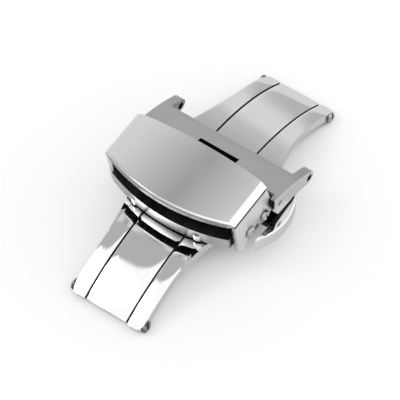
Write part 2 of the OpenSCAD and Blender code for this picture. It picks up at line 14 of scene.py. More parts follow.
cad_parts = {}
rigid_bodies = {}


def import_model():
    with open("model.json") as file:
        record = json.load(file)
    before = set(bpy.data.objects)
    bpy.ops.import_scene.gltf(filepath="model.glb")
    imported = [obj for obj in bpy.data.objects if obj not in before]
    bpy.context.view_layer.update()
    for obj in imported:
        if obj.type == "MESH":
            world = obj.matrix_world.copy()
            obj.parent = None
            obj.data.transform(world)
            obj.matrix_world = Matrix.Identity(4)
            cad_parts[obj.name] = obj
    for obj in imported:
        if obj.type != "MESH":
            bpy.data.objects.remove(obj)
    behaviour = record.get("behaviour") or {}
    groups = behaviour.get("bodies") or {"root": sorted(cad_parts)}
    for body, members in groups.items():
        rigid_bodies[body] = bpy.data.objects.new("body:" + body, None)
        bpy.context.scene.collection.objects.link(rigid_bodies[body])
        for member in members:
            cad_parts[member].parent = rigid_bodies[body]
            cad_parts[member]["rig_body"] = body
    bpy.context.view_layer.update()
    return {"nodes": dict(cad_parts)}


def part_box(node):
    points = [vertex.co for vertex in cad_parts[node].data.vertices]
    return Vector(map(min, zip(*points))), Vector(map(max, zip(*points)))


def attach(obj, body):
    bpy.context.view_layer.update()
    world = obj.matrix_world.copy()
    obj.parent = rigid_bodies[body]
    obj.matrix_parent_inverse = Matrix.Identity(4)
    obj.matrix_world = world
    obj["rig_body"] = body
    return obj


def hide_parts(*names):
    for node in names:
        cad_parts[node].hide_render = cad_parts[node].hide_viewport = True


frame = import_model()
nodes = frame["nodes"]
MM = 0.001


# Shader helpers
class Tree:
    """A small writer of shader nodes."""

    def __init__(self, data):
        data.use_nodes = True
        self.tree = data.node_tree
        self.tree.nodes.clear()

    def add(self, kind, inputs=None, **settings):
        """A node with its settings, and with a link or a value on each named input."""
        node = self.tree.nodes.new(kind)
        for key, value in settings.items():
            setattr(node, key, value)
        for key, value in (inputs or {}).items():
            if isinstance(value, bpy.types.NodeSocket):
                self.tree.links.new(value, node.inputs[key])
            else:
                node.inputs[key].default_value = value
        return node

    def math(self, operation, a, b=0.0, clamp=False):
        """One step of arithmetic."""
        return self.add("ShaderNodeMath", {0: a, 1: b}, operation=operation, use_clamp=clamp).outputs[0]

    def mix_colours(self, share, a, b, blend="MIX"):
        """Two colours blended; 6 and 7 are the numbers of the node's colour inputs."""
        inputs = {0: share, 6: a, 7: b}
        return self.add("ShaderNodeMix", inputs, data_type="RGBA", blend_type=blend).outputs[2]

    def mix_levels(self, share, a, b):
        """Two levels blended; 2 and 3 are the numbers of the node's level inputs."""
        return self.add("ShaderNodeMix", {0: share, 2: a, 3: b}, data_type="FLOAT").outputs[0]

    def noise(self, place, scale, detail, roughness=0.5):
        """Cloudy noise round 0.5."""
        inputs = {"Vector": place, "Scale": scale, "Detail": detail, "Roughness": roughness}
        return self.add("ShaderNodeTexNoise", inputs).outputs["Fac"]

    def openness(self, reach, samples):
        """From 0 in a closed crevice to 1 on an open surface, judged as far as reach."""
        return self.add("ShaderNodeAmbientOcclusion", {"Distance": reach}, samples=samples).outputs["AO"]

    def ramp(self, share, stops, interpolation="EASE"):
        """A level that follows (position, level) stops."""
        node = self.add("ShaderNodeValToRGB", {"Fac": share})
        node.color_ramp.interpolation = interpolation
        while len(node.color_ramp.elements) < len(stops):
            node.color_ramp.elements.new(0.5)
        for element, (position, level) in zip(node.color_ramp.elements, stops):
            element.position = position
            element.color = (level, level, level, 1)
        return node.outputs["Color"]

    def span(self, value, low, high, to_low=0.0, to_high=1.0, smooth=False):
        """The value moved from one range to another and held inside it."""
        node = self.add(
            "ShaderNodeMapRange",
            {"Value": value, "From Min": low, "From Max": high, "To Min": to_low, "To Max": to_high},
            interpolation_type="SMOOTHSTEP" if smooth else "LINEAR",
        )
        return node.outputs["Result"]


# Painted shade: how bright steel is coloured by how open it lies, from closed to open
CREVICE_SHADE = [(0.0, 0.02), (0.35, 0.08), (0.62, 0.6), (0.85, 1.0)]
DEEP_CREVICE_SHADE = [(0.0, 0.0), (0.5, 0.015), (0.72, 0.4), (0.9, 1.0)]

# How far away a neighbour still darkens the steel's colour with painted shade
SHADE_REACH = 0.0014
WIDE_REACH = 0.0035
SMALL_REACH = 0.0008
WALL_REACH = 0.0005
NOTCH_REACH = 0.00005
SHADE_SAMPLES = 8

# Fine scratches: their noise, and the part of its range that counts
SCRATCH_DETAIL = 4.0
SCRATCH_ROUGHNESS = 0.6
SCRATCH_SPAN = (0.35, 0.75)

# Wide clouds that dull the gloss by a share of the lowest roughness
CLOUD_SCALE = 260.0
CLOUD_DETAIL = 3.0
CLOUD_SPAN = (0.4, 0.7)
CLOUD_SHARE = 0.35

# Small dull patches
PATCH_SCALE = 2200.0
PATCH_DETAIL = 2.0
PATCH_SPAN = (0.38, 0.62)

# Worn corners: where wear begins and is full, the roughness that it adds and how much brighter it is
CORNER_SPAN = (0.52, 0.6)
CORNER_SHARE = 0.6
CORNER_BRIGHT = 1.15
BRIGHTEST = 0.97


def metal(name, tone, gloss, grain, stretch, depth, wear=0.25, reach=SHADE_REACH, crevice_shade=CREVICE_SHADE, mottle=1.0):
    """Bare steel: fine scratches vary the gloss, corners are worn brighter and painted shade darkens
    crevices.

    gloss holds the lowest and the highest roughness, depth is how deep the scratches are, wear how much the
    corners show, and mottle the share of the light that dull patches keep.
    """
    mat = bpy.data.materials.new(name)
    t = Tree(mat)
    place = t.add("ShaderNodeTexCoord").outputs["Object"]
    lines = t.add("ShaderNodeMapping", {"Vector": place, "Scale": stretch}).outputs["Vector"]
    scratches = t.noise(lines, grain, SCRATCH_DETAIL, SCRATCH_ROUGHNESS)
    clouds = t.noise(place, CLOUD_SCALE, CLOUD_DETAIL)
    corners = t.add("ShaderNodeNewGeometry").outputs["Pointiness"]
    worn = t.span(corners, *CORNER_SPAN, 0.0, wear)
    low, high = gloss
    rough = t.span(scratches, *SCRATCH_SPAN, low, high)
    rough = t.math("ADD", rough, t.span(clouds, *CLOUD_SPAN, 0.0, low * CLOUD_SHARE))
    rough = t.math("ADD", rough, t.math("MULTIPLY", worn, low * CORNER_SHARE), clamp=True)
    # Painted shade: the colour darkens where near neighbours close the steel in
    shade_and_mottle = t.ramp(t.openness(reach, SHADE_SAMPLES), crevice_shade, "LINEAR")
    worn_tone = [min(BRIGHTEST, part * CORNER_BRIGHT) for part in tone]
    bright = t.mix_colours(worn, (*tone, 1), (*worn_tone, 1))
    patches = t.noise(place, PATCH_SCALE, PATCH_DETAIL)
    patch_low, patch_high = PATCH_SPAN
    dull = t.ramp(patches, [(patch_low, mottle), (patch_high, 1.0)])
    shade_and_mottle = t.mix_colours(1.0, shade_and_mottle, dull, "MULTIPLY")
    colour = t.mix_colours(1.0, bright, shade_and_mottle, "MULTIPLY")
    bump = t.add("ShaderNodeBump", {"Height": scratches, "Strength": 1.0, "Distance": depth})
    shader = t.add(
        "ShaderNodeBsdfPrincipled",
        {"Base Color": colour, "Metallic": 1.0, "Roughness": rough, "Normal": bump.outputs["Normal"]},
    )
    t.add("ShaderNodeOutputMaterial", {"Surface": shader.outputs["BSDF"]})
    return mat


# How the scratches are drawn out: a little or far along the clasp, far across it, or not at all
DRAWN = (1, 0.25, 1)
BRUSHED = (1, 0.12, 1)
ACROSS = (0.12, 1, 1)
ROUND = (1, 1, 1)

# The steels
polished = metal(
    "polished_steel", tone=(0.84, 0.84, 0.845), gloss=(0.03, 0.07), grain=900.0, stretch=DRAWN, depth=2e-7
)
cover_steel = metal(
    "cover_steel", tone=(0.84, 0.84, 0.845), gloss=(0.03, 0.07), grain=900.0, stretch=DRAWN, depth=2e-7,
    reach=WIDE_REACH, crevice_shade=DEEP_CREVICE_SHADE,
)
# The cover's front: a darker copy of the cover's steel, whose darker tone is painted shade; its rougher grain
# across is its finish
shaded_cover_front = metal(
    "shaded_cover_front", tone=(0.4, 0.4, 0.405), gloss=(0.3, 0.4), grain=1500.0, stretch=ACROSS, depth=8e-7
)
satin = metal(
    "satin_steel", tone=(0.72, 0.72, 0.73), gloss=(0.14, 0.26), grain=1500.0, stretch=BRUSHED, depth=8e-7
)
cover_side = metal(
    "cover_side", tone=(0.84, 0.84, 0.845), gloss=(0.4, 0.48), grain=1200.0, stretch=BRUSHED, depth=4e-7,
    reach=WALL_REACH,
)
# The lugs' outer sides: a lighter copy of the lugs' steel, painted light
lug_side = metal(
    "lug_side", tone=(0.7, 0.7, 0.705), gloss=(0.2, 0.3), grain=1300.0, stretch=BRUSHED, depth=6e-7,
    reach=SMALL_REACH,
)
# The plate's front face beside the cover: nearly white and rough, painted light
lit_notch_steel = metal(
    "lit_notch_steel", tone=(0.9, 0.9, 0.905), gloss=(0.7, 0.8), grain=1300.0, stretch=BRUSHED, depth=6e-7,
    reach=NOTCH_REACH,
)
tray_steel = metal(
    "tray_steel", tone=(0.62, 0.62, 0.63), gloss=(0.26, 0.38), grain=1500.0, stretch=ACROSS, depth=8e-7,
    reach=WIDE_REACH, crevice_shade=DEEP_CREVICE_SHADE,
)
lug_steel = metal(
    "lug_steel", tone=(0.5, 0.5, 0.505), gloss=(0.22, 0.32), grain=1300.0, stretch=BRUSHED, depth=6e-7,
    wear=0.0,
)
# Near-black steel for groove walls, box sides, parts inside the head and the lugs' undersides: painted shade
painted_dark = metal(
    "painted_dark_steel", tone=(0.16, 0.16, 0.165), gloss=(0.35, 0.5), grain=1500.0, stretch=BRUSHED, depth=6e-7,
    wear=0.05,
)
turned = metal(
    "pin_steel", tone=(0.66, 0.66, 0.67), gloss=(0.1, 0.22), grain=2600.0, stretch=ROUND, depth=1e-6,
    reach=SMALL_REACH, mottle=0.6,
)
shaded = metal(
    "shaded_steel", tone=(0.05, 0.05, 0.052), gloss=(0.35, 0.5), grain=1500.0, stretch=BRUSHED, depth=6e-7,
    wear=0.05,
)
old_steel = metal(
    "worn_pin_steel", tone=(0.36, 0.36, 0.37), gloss=(0.14, 0.26), grain=2600.0, stretch=ROUND, depth=1e-6,
    reach=SMALL_REACH, mottle=0.3,
)
spring = metal(
    "spring_steel", tone=(0.5, 0.5, 0.52), gloss=(0.2, 0.4), grain=2200.0, stretch=ROUND, depth=1e-6
)

# Angles in degrees, for creases, outer edges, faces merged as flat and faces that take an exact normal
CREASE_ANGLE = 40
CONVEX_ANGLE = 28
FLAT_ANGLE = 0.6
EXACT_ANGLE = 9

# How far the larger faces rule the normals
NORMAL_WEIGHT = 80

# Points that are nearer than this are one point, in metres
WELD = 1.5e-6
CUT_WELD = 2e-6

# How finely round forms are divided
TURN_STEPS = 48
DOME_STEPS = 8
EDGE_STEPS = 3
WIDE_STEPS = 5
ROUND_PROFILE = 0.5

# How long a driver slot is, by the head's radius
SLOT_LENGTH = 4

# How far a unit direction points one way, from hardly to squarely
HARDLY = 0.3
PARTLY = 0.6
MOSTLY = 0.7
NEARLY = 0.8
SQUARELY = 0.9


def finish_mesh(obj):
    """Smooth shading, with creases where two faces meet at more than CREASE_ANGLE."""
    mesh = obj.data
    for face in mesh.polygons:
        face.use_smooth = True
    bm = bmesh.new()
    bm.from_mesh(mesh)
    for edge in bm.edges:
        if len(edge.link_faces) == 2:
            edge.smooth = edge.calc_face_angle(0) < math.radians(CREASE_ANGLE)
    bm.to_mesh(mesh)
    bm.free()
    weighted = obj.modifiers.new("weighted_normals", "WEIGHTED_NORMAL")
    weighted.keep_sharp = True
    weighted.weight = NORMAL_WEIGHT


def is_convex(edge, angle=CONVEX_ANGLE):
    """True for an outer edge that is sharper than the angle."""
    return len(edge.link_faces) == 2 and edge.calc_face_angle_signed(0) > math.radians(angle)


def middle(edge):
    """The middle of an edge, in mm."""
    return (edge.verts[0].co + edge.verts[1].co) / 2 / MM


def along(edge):
    """The unit direction of an edge."""
    return (edge.verts[1].co - edge.verts[0].co).normalized()


def node_mesh(name):
    """A copy of a CAD node's mesh with its seams welded."""
    mesh = bpy.data.meshes.new("work")
    bm = bmesh.new()
    bm.from_mesh(nodes[name].data)
    bmesh.ops.remove_doubles(bm, verts=bm.verts, dist=WELD)
    bm.to_mesh(mesh)
    bm.free()
    return mesh


def combine(first, second, operation):
    """The boolean result of two closed meshes, as a new mesh."""
    holder, tool = bpy.data.objects.new("holder", first), bpy.data.objects.new("tool", second)
    for obj in (holder, tool):
        bpy.context.scene.collection.objects.link(obj)
    step = holder.modifiers.new("step", "BOOLEAN")
    step.operation, step.object, step.solver = operation, tool, "EXACT"
    graph = bpy.context.evaluated_depsgraph_get()
    mesh = bpy.data.meshes.new_from_object(holder.evaluated_get(graph))
    bpy.data.objects.remove(holder)
    bpy.data.objects.remove(tool)
    return mesh


def base_mesh(*names):
    """The joined solid of some nodes, as a bmesh with coplanar faces merged."""
    mesh = node_mesh(names[0])
    for other in names[1:]:
        mesh = combine(mesh, node_mesh(other), "UNION")
    bm = bmesh.new()
    bm.from_mesh(mesh)
    bmesh.ops.remove_doubles(bm, verts=bm.verts, dist=WELD)
    bmesh.ops.dissolve_limit(
        bm, angle_limit=math.radians(FLAT_ANGLE), use_dissolve_boundaries=False,
        verts=bm.verts, edges=bm.edges,
    )
    bm.normal_update()
    return bm


def lathe(bm, profile, y, z, side):
    """Turns a profile of (x, radius) points about the line along X at (y, z).

    The turned form is closed where the radius is 0, and side -1 puts it on the left.
    """
    turns = [2 * math.pi * i / TURN_STEPS for i in range(TURN_STEPS)]
    rings = []
    for x, radius in profile:
        spots = [(radius * math.cos(turn), radius * math.sin(turn)) for turn in turns]
        if radius == 0:
            spots = [(0, 0)]
        rings.append([bm.verts.new(Vector((side * x, y + a, z + b)) * MM) for a, b in spots])
    for one, two in zip(rings, rings[1:]):
        for i in range(TURN_STEPS):
            after = i + 1
            corners = [one[i % len(one)], two[i % len(two)], two[after % len(two)], one[after % len(one)]]
            corners = list(dict.fromkeys(corners))
            if len(corners) > 2:
                bm.faces.new(corners)


def domed(x0, x1, radius, shaft, dome, start):
    """Profile of a shaft from start to x0, then a head out to x1 with a round dome."""
    rim = x1 - dome
    turns = [math.pi / 2 * i / DOME_STEPS for i in range(1, DOME_STEPS)]
    cap = [(rim + dome * math.sin(turn), radius * math.cos(turn)) for turn in turns]
    return [(start, 0), (start, shaft), (x0, shaft), (x0, radius), (rim, radius), *cap, (x1, 0)]


def slot_box(x, y, z, deep, wide, long, angle):
    """Closed box that cuts a driver slot into a head's end at x."""
    bm = bmesh.new()
    bmesh.ops.create_cube(bm, size=1.0)
    turn = Matrix.Rotation(angle, 4, "X")
    size = Matrix.Diagonal((2 * deep, wide, long, 1))
    place = Matrix.Translation(Vector((x, y, z)) * MM) @ Matrix.Scale(MM, 4)
    bmesh.ops.transform(bm, matrix=place @ turn @ size, verts=bm.verts)
    mesh = bpy.data.meshes.new("slot")
    bm.to_mesh(mesh)
    bm.free()
    return mesh


def make_pins(node, material, head, shaft, dome, inner, slot_wide=0.0, slot_deep=0.0, slot_angle=0.0):
    """Turned pins at both sides, round as the real ones, at the CAD node's places."""
    low, high = (Vector(c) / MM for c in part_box(node))
    y, z, radius = (low.y + high.y) / 2, (low.z + high.z) / 2, (high.y - low.y) / 2
    bm = bmesh.new()
    for side in (-1, 1):
        lathe(bm, domed(high.x - head, high.x, radius, shaft, dome, inner), y, z, side)
    bmesh.ops.recalc_face_normals(bm, faces=bm.faces)
    mesh = bpy.data.meshes.new(node)
    bm.to_mesh(mesh)
    if slot_wide:
        slot_long = SLOT_LENGTH * radius
        for side in (-1, 1):
            slot = slot_box(side * high.x, y, z, slot_deep, slot_wide, slot_long, slot_angle)
            mesh = combine(mesh, slot, "DIFFERENCE")
    bm.clear()
    bm.from_mesh(mesh)
    bm.normal_update()
    piece(node + "_steel", bm, [material], "pin_steel", nodes[node]["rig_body"], node)


def round_edges(bm, width, choose=is_convex, steps=EDGE_STEPS):
    """Rounds the chosen edges, by a width in mm."""
    edges = [e for e in bm.edges if choose(e)]
    if edges:
        bmesh.ops.bevel(
            bm, geom=edges, offset=width * MM, offset_type="OFFSET", segments=steps,
            profile=ROUND_PROFILE, affect="EDGES", clamp_overlap=True,
        )
        bm.normal_update()


def cut(bm, place, normal):
    """Cuts the faces along a plane through a place in mm, and keeps both sides."""
    bmesh.ops.bisect_plane(
        bm, geom=list(bm.verts) + list(bm.edges) + list(bm.faces), dist=CUT_WELD,
        plane_co=Vector(place) * MM, plane_no=Vector(normal),
    )


def paint(bm, number, choose):
    """Gives the chosen faces the material of that number on the piece, by their middle in mm and normal."""
    for face in bm.faces:
        if choose(face.calc_center_median() / MM, face.normal):
            face.material_index = number


def piece(name, bm, materials, slot, body, *stands_for):
    """A piece of the visual model, which rides on its body and stands for CAD nodes."""
    mesh = bpy.data.meshes.new(name)
    bm.to_mesh(mesh)
    bm.free()
    obj = bpy.data.objects.new(name, mesh)
    bpy.context.scene.collection.objects.link(obj)
    for material in materials:
        mesh.materials.append(material)
    finish_mesh(obj)
    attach(obj, body)
    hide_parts(*stands_for)
    return obj


def rounded(node, material, slot, width):
    """A node again, with its sharp outer edges rounded as on the real piece."""
    bm = base_mesh(node)
    round_edges(bm, width)
    piece(node + "_steel", bm, [material], slot, nodes[node]["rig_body"], node)


def exact_normals(obj, rule):
    """Gives faces the exact normals of the surface that they stand for, so that it mirrors smoothly."""
    mesh = obj.data
    obj.modifiers.clear()
    normals = [tuple(corner.vector) for corner in mesh.corner_normals]
    for face in mesh.polygons:
        for loop, vertex in zip(face.loop_indices, face.vertices):
            exact = rule(mesh.vertices[vertex].co, face.normal)
            if exact is not None and exact.angle(face.normal) < math.radians(EXACT_ANGLE):
                normals[loop] = tuple(exact)
    mesh.normals_split_custom_set(normals)


# Bent sheet of the frame and arms: height of its top, half of its flat middle, bend radius, thickness and end
TOP = 5.7352
FLAT = 5.2
BEND = 28.45
SHEET = 1.25
END_Y = 20.85

# Rows cut across the bend
ROW_STEP = 0.55
LAST_ROW = 20.8

# How far under the true bend its CAD facets lie, and how far a point may lie off its surface
CHORD = 0.0125
NEAR = 0.002
SLACK = 0.01

# How near a face lies to the face, edge or side that it is known by
FACE_NEAR = 0.05
EDGE_NEAR = 0.03
TOP_NEAR = 0.02
WALL_NEAR = 0.1

# Crowned tops: shares of the wide and the steep part, and where the crown starts under the head
CROWN_WIDE = 0.55
CROWN_STEEP = 0.45
CROWN_START = 1.9
CROWN_RISE = 1.5
CROWN_DEEPEST = 0.11

# The pressed hollow under the head: its middle, half length and depth, and how much less the mesh sinks
HOLLOW_Y = -8.6
HOLLOW_REACH = 3.6
HOLLOW_DEPTH = 0.2
HOLLOW_PART = 4

# Ends and edges of the sheet
END_ROUND = 0.36
END_ROUND_Y = 20.2
END_PLAIN = 0.4
FRAME_EDGE = 0.09
ARM_EDGE = 0.07

# The rails: inner and outer side, crown, cuts that carry it, and the side walls of the latch box
RAIL_IN = 3.2
RAIL_OUT = 5.3
RAIL_CROWN = 0.05
RAIL_CUTS = (3.4, 3.7, 4.0, 4.35, 4.7, 4.95, 5.15, 5.5, 5.9, 6.4, 7.0, 7.6, 8.1)
BOX_SIDE = 8.6

# The arms, and how high over the sheet their parts inside the head begin
ARM_HALF = 2.95
ARM_CROWN = 0.08
ARM_CUTS = (-2.6, -2.2, -1.7, -1.1, -0.5, 0, 0.5, 1.1, 1.7, 2.2, 2.6)
ARM_RISE = 0.3

# The second material of the frame, the arms and the tray: painted shade on groove walls, box sides, parts
# inside the head and the tray's top
PAINTED_SHADE = 1


def sheet_place(co):
    """(angle, height over the sheet's top face) of a point of the bent sheet, in mm."""
    y, z = co.y / MM, co.z / MM - TOP
    out = abs(y) - FLAT
    if out <= 0:
        return 0.0, z
    angle = math.atan2(out, z + BEND)
    return angle, math.hypot(out, z + BEND) - BEND


def sheet_point(co, angle, height):
    """Moves a point of the bent sheet to that angle and height over its top face."""
    side = -1 if co.y < 0 else 1
    co.y = side * (FLAT + (BEND + height) * math.sin(angle)) * MM
    co.z = (TOP - BEND + (BEND + height) * math.cos(angle)) * MM


def crown(x, bands):
    """How far the polished top rolls off at x, and the slope there: each band bulges a little."""
    for x0, x1, depth in bands:
        if x0 - SLACK <= x <= x1 + SLACK:
            u = (2 * x - x0 - x1) / (x1 - x0)
            drop = CROWN_WIDE * u * u + CROWN_STEEP * u ** 6
            slope = (2 * CROWN_WIDE * u + 6 * CROWN_STEEP * u ** 5) * 2 / (x1 - x0)
            return depth * drop, depth * slope
    return 0.0, 0.0


def crown_fade(y):
    """The crown fades out under the head, where the sheet is flat."""
    return min(1.0, max(0.0, (abs(y) - FLAT + CROWN_START) / CROWN_RISE))


def hollow(y):
    """How far the front sheet's mesh sinks under the head, and the slope of the real hollow towards +Y."""
    u = (y - HOLLOW_Y) / HOLLOW_REACH
    if abs(u) >= 1:
        return 0.0, 0.0
    return -HOLLOW_DEPTH * (1 - u * u) ** 2 / HOLLOW_PART, 4 * HOLLOW_DEPTH * u * (1 - u * u) / HOLLOW_REACH


def true_sheet(bm, bands, columns):
    """Fine rows along the bend on the true radius, and crowned tops."""
    for x in columns:
        cut(bm, (x, 0, 0), (1, 0, 0))
    y = FLAT
    while y < LAST_ROW:
        for side in (-1, 1):
            cut(bm, (0, side * y, 0), (0, 1, 0))
        y += ROW_STEP
    for v in bm.verts:
        if abs(v.co.y) / MM < FLAT - CROWN_START:
            continue
        angle, height = sheet_place(v.co)
        if angle > 0:
            if -CHORD < height < NEAR:
                height = 0.0
            elif -SHEET - CHORD < height < -SHEET + NEAR:
                height = -SHEET
        if -SHEET / 2 < height < SLACK:
            share = 1 + height / (SHEET / 2)
            fade = crown_fade(v.co.y / MM)
            height += (hollow(v.co.y / MM)[0] - crown(v.co.x / MM, bands)[0] * fade) * share
            if angle > 0:
                sheet_point(v.co, angle, height)
            else:
                v.co.z = (TOP + height) * MM
        elif angle > 0 and -SHEET - SLACK < height < SLACK:
            sheet_point(v.co, angle, height)
    bm.normal_update()


def sheet_rule(bands):
    """The rule for the exact normals of the sheet's top."""
    def rule(co, normal):
        angle, height = sheet_place(co)
        if height < -CROWN_DEEPEST or normal.z < PARTLY or abs(co.y) / MM > END_Y - END_PLAIN:
            return None
        tilt = angle if co.y > 0 else -angle
        lean = crown(co.x / MM, bands)[1] * crown_fade(co.y / MM)
        return Vector((lean, math.sin(tilt) - hollow(co.y / MM)[1], math.cos(tilt))).normalized()

    return rule


def is_top_end(edge):
    """True for the edges round the outer end of the sheet's top face."""
    outer = abs(middle(edge).y) > END_ROUND_Y
    return is_convex(edge) and outer and sheet_place(edge.verts[0].co)[1] > -FACE_NEAR


def is_shaded_on_frame(c, n):
    """True for the groove walls and the side walls of the latch box."""
    in_groove = RAIL_IN - WALL_NEAR < abs(c.x) < RAIL_IN + WALL_NEAR
    return abs(n.x) > SQUARELY and (in_groove or abs(c.x) > BOX_SIDE)


def is_shaded_on_arm(c, n):
    """True for the groove walls, and for what stands up inside the head."""
    in_groove = ARM_HALF - WALL_NEAR < abs(c.x) < ARM_HALF + WALL_NEAR
    return abs(n.x) > SQUARELY and in_groove or c.z > TOP + ARM_RISE


def make_frame():
    """The curved frame with its rails and latch box."""
    bm = base_mesh("base_frame")
    round_edges(bm, END_ROUND, is_top_end, WIDE_STEPS)
    round_edges(bm, FRAME_EDGE)
    bands = [(-RAIL_OUT, -RAIL_IN, RAIL_CROWN), (RAIL_IN, RAIL_OUT, RAIL_CROWN)]
    true_sheet(bm, bands, [side * x for side in (-1, 1) for x in RAIL_CUTS])
    # Groove walls and the latch box's side walls get near-black painted shade
    paint(bm, PAINTED_SHADE, is_shaded_on_frame)
    obj = piece("frame_steel", bm, [polished, painted_dark], "polished_steel", "frame", "base_frame")
    exact_normals(obj, sheet_rule(bands))


def make_arm(node):
    """One of the two swinging arms."""
    bm = base_mesh(node)
    round_edges(bm, END_ROUND, is_top_end, WIDE_STEPS)
    round_edges(bm, ARM_EDGE)
    bands = [(-ARM_HALF, ARM_HALF, ARM_CROWN)]
    true_sheet(bm, bands, ARM_CUTS)
    # Groove walls and what stands up inside the head get near-black painted shade
    paint(bm, PAINTED_SHADE, is_shaded_on_arm)
    obj = piece(node + "_steel", bm, [polished, painted_dark], "polished_steel", node, node)
    exact_normals(obj, sheet_rule(bands))


# The head: its tilt on the frame, its front, its lift over the sheet, and heights over the tray's underside
HEAD_TILT = math.radians(6.4)
HEAD_FRONT = 9.2
HEAD_LIFT = 0.33
TRAY_TOP = 1.55
TRAY_EDGE = 0.06
COVER_UNDER = 4.45
COVER_TOP = 5.55
COVER_HALF = 9.55
COVER_EDGE = 0.1
FRONT_BEVEL = 0.3

# Which of the cover's faces look up, forward or a little forward and down, and how near they lie
UP_FACING = 0.95
FRONT_FACING = 0.85
ROUNDING_FORWARD = 0.1
ROUNDING_DOWN = 0.05
ROUNDING_NEAR = 0.12
SIDE_NEAR = 0.25

# Crown of the cover's top, about an axis that is turned a little, and the cuts that carry it
TOP_HALF = 8.72
COVER_CROWN = 0.12
AXIS_START = 1.2
AXIS_TURN = 0.28
CROWN_LAYER = 0.3
CROWN_BLEND = 0.2
COVER_COLUMNS = range(-8, 9)
COVER_ROWS = (1.5, 3, 4.5, 6, 7.5)

# The groove that stands for the seam round the side walls: its top, width, depth, front end and inner limit
SEAM = 4.84
SEAM_W = 0.42
SEAM_DEPTH = 0.34
SEAM_FRONT = 0.8
SEAM_LIP = 0.012
SEAM_INNER = 8

# Numbers of the cover's materials after that of its top
SHADED_FRONT = 1
SHADE = 2
SIDE_FACE = 3


def to_head(co):
    """(x, distance from the head's front, height over the tray's underside) in mm."""
    y, z = co.y / MM + HEAD_FRONT, co.z / MM - TOP - HEAD_LIFT
    c, s = math.cos(HEAD_TILT), math.sin(HEAD_TILT)
    return co.x / MM, y * c + z * s, z * c - y * s


def from_head(x, v, h):
    """The place in metres of a point that to_head gives."""
    c, s = math.cos(HEAD_TILT), math.sin(HEAD_TILT)
    return Vector((x, v * c - h * s - HEAD_FRONT, v * s + h * c + TOP + HEAD_LIFT)) * MM


HEAD_REAR = (from_head(0, 1, 0) - from_head(0, 0, 0)).normalized()
HEAD_UP = (from_head(0, 0, 1) - from_head(0, 0, 0)).normalized()


def head_height(c):
    """The height of a place in mm over the tray's underside."""
    return to_head(c * MM)[2]


def cover_crown(x, v):
    """How far the cover's top rolls off to both sides of its slightly turned axis, and the slope there."""
    off = x - (AXIS_TURN * v - AXIS_START)
    return COVER_CROWN * (off / TOP_HALF) ** 2, 2 * COVER_CROWN * off / TOP_HALF ** 2


def cover_rule(co, normal):
    """The rule for the exact normals of the cover's top."""
    x, v, h = to_head(co)
    if h < COVER_TOP - CROWN_LAYER or normal.dot(HEAD_UP) < UP_FACING:
        return None
    return (HEAD_UP + Vector((cover_crown(x, v)[1], 0, 0))).normalized()


def is_cover_front(edge):
    """True for the edges between the cover's flat top and its curved front."""
    on_top = min(to_head(v.co)[2] for v in edge.verts) > COVER_TOP - TOP_NEAR
    facing = [f.normal.y for f in edge.link_faces]
    return is_convex(edge) and on_top and min(facing) < -NEARLY and max(facing) > -HARDLY


def in_seam(v, h, lip):
    """True for a point behind the seam's front end, between the seam's lips."""
    return v > SEAM_FRONT and SEAM - SEAM_W < h - lip and h + lip < SEAM


def is_seam(c, n):
    """True for the faces inside the seam."""
    x, v, h = to_head(c * MM)
    return abs(n.y) < PARTLY and in_seam(v, h, 0) and SEAM_INNER < abs(x) < COVER_HALF - FACE_NEAR


def is_front_face(c, n):
    """True for the cover's curved front."""
    return n.y < -FRONT_FACING and head_height(c) > COVER_UNDER - TOP_NEAR


def is_under_rounding(c, n):
    """True for the rounding between the cover's front and its underside."""
    near = abs(head_height(c) - COVER_UNDER) < ROUNDING_NEAR
    return near and n.y < -ROUNDING_FORWARD and n.z < -ROUNDING_DOWN


def is_underside(c, n):
    """True for the cover's flat underside."""
    return n.dot(HEAD_UP) < -SQUARELY and abs(head_height(c) - COVER_UNDER) < FACE_NEAR


def is_side_wall(c, n):
    """True for the outer faces of the cover's side walls."""
    return abs(n.x) > SQUARELY and abs(c.x) > COVER_HALF - SIDE_NEAR


def is_tray_top(c, n):
    """True for the tray's top, which lies in the shade of the cover."""
    return n.dot(HEAD_UP) > SQUARELY and head_height(c) > TRAY_TOP - EDGE_NEAR


def press_seam(bm):
    """Cuts the seam's lips and moves what lies between them inwards."""
    for h in (SEAM, SEAM - SEAM_LIP, SEAM - SEAM_W + SEAM_LIP, SEAM - SEAM_W):
        cut(bm, from_head(0, 0, h) / MM, HEAD_UP)
    for vert in bm.verts:
        x, v, h = to_head(vert.co)
        if abs(x) > COVER_HALF - EDGE_NEAR and in_seam(v, h, SEAM_LIP / 2):
            vert.co = from_head(math.copysign(abs(x) - SEAM_DEPTH, x), v, h)


def crown_cover(bm):
    """Cuts the cover's top into a grid and rolls it off to both sides."""
    for x in COVER_COLUMNS:
        cut(bm, (x, 0, 0), (1, 0, 0))
    for v in COVER_ROWS:
        cut(bm, from_head(0, v, 0) / MM, HEAD_REAR)
    for vert in bm.verts:
        x, v, h = to_head(vert.co)
        if h > COVER_TOP - CROWN_LAYER:
            share = min(1.0, (h - COVER_TOP + CROWN_LAYER) / CROWN_BLEND)
            vert.co = from_head(x, v, h - cover_crown(x, v)[0] * share)
    bm.normal_update()


def make_cover():
    """The flip cover with its bevels, seam and side walls."""
    bm = base_mesh("cover")
    round_edges(bm, FRONT_BEVEL, is_cover_front)
    round_edges(bm, COVER_EDGE)
    press_seam(bm)
    crown_cover(bm)
    # The front gets a darker tone as painted shade; the lower rounding, the seam and the underside get
    # near-black painted shade
    paint(bm, SHADED_FRONT, is_front_face)
    paint(bm, SHADE, is_under_rounding)
    paint(bm, SIDE_FACE, is_side_wall)
    paint(bm, SHADE, is_seam)
    paint(bm, SHADE, is_underside)
    materials = [cover_steel, shaded_cover_front, shaded, cover_side]
    obj = piece("cover_steel", bm, materials, "polished_steel", "cover", "cover")
    exact_normals(obj, cover_rule)


